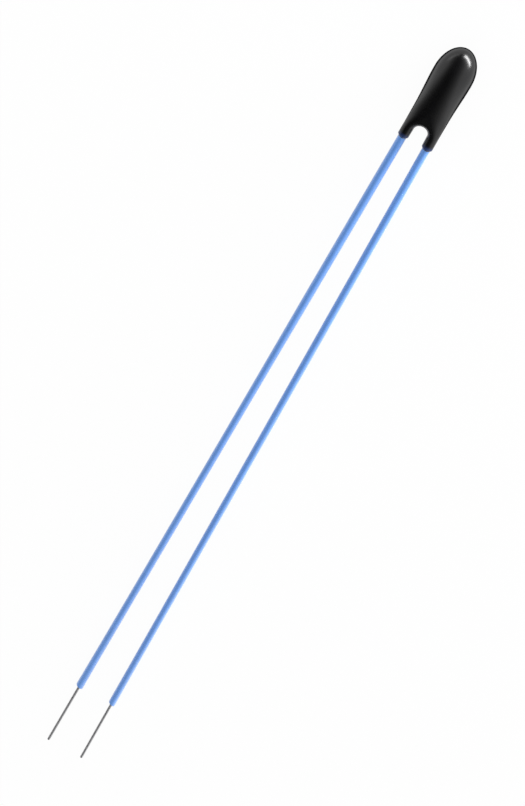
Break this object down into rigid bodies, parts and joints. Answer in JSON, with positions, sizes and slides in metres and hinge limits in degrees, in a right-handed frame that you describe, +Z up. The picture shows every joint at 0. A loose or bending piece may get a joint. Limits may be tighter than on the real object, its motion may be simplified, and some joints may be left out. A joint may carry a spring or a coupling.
{
  "type": "ntc thermistor",
  "caption": "Temperature sensor: a glossy black epoxy-dipped bead that narrows into a forked end, on thin blue insulated leads that run side by side to stripped wire ends.",
  "frame": {"origin": "on the table, under the middle of the bead, which rests on its belly", "axes": "+X along the leads and away from the bead, +Y towards the right lead as seen from above with the bead at the back, +Z up"},
  "size_m": [0.0648, 0.0032, 0.0024],
  "materials": {
    "epoxy_coating": "glossy black dipped epoxy",
    "chip_ceramic": "sawn dark ceramic",
    "silver_film": "fired silver, matt",
    "solder": "smooth solder",
    "plated_wire": "drawn and plated wire, satin",
    "blue_insulation": "satin blue fluoropolymer"
  },
  "bodies": {
    "root": {"head_coating": "epoxy_coating", "ntc_chip": "chip_ceramic", "electrode_left": "silver_film", "electrode_right": "silver_film", "solder_left": "solder", "solder_right": "solder", "lead_wire_left": "plated_wire", "lead_wire_right": "plated_wire", "lead_insulation_left": "blue_insulation", "lead_insulation_right": "blue_insulation"}
  },
  "joints": []
}
